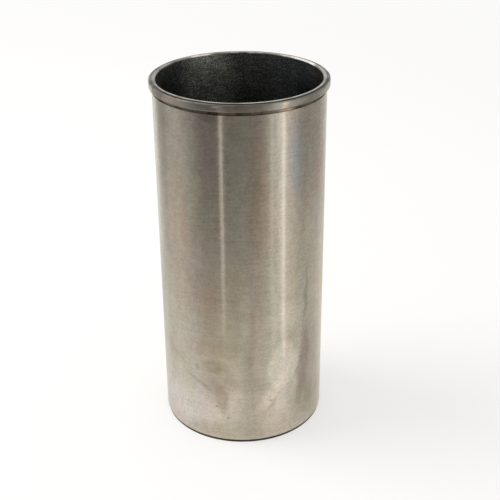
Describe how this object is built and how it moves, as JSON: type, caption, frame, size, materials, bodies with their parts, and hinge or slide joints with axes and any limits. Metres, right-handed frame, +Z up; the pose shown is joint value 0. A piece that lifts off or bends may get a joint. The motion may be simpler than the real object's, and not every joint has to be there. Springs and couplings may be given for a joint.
{
  "type": "cylinder liner",
  "caption": "Dry cylinder liner: a thin-walled turned iron sleeve with a flange, a fire lip and a relief groove at its top.",
  "frame": {"origin": "centre of the lower end face, on the liner's axis", "axes": "+Z up along the liner's axis, towards the flange; +X and +Y across it, all directions round the axis being alike"},
  "size_m": [0.1068, 0.1068, 0.2262],
  "materials": {
    "turned_iron": "ground and honed, bare metal"
  },
  "bodies": {
    "root": {"cylinder_liner": "turned_iron"}
  },
  "joints": []
}
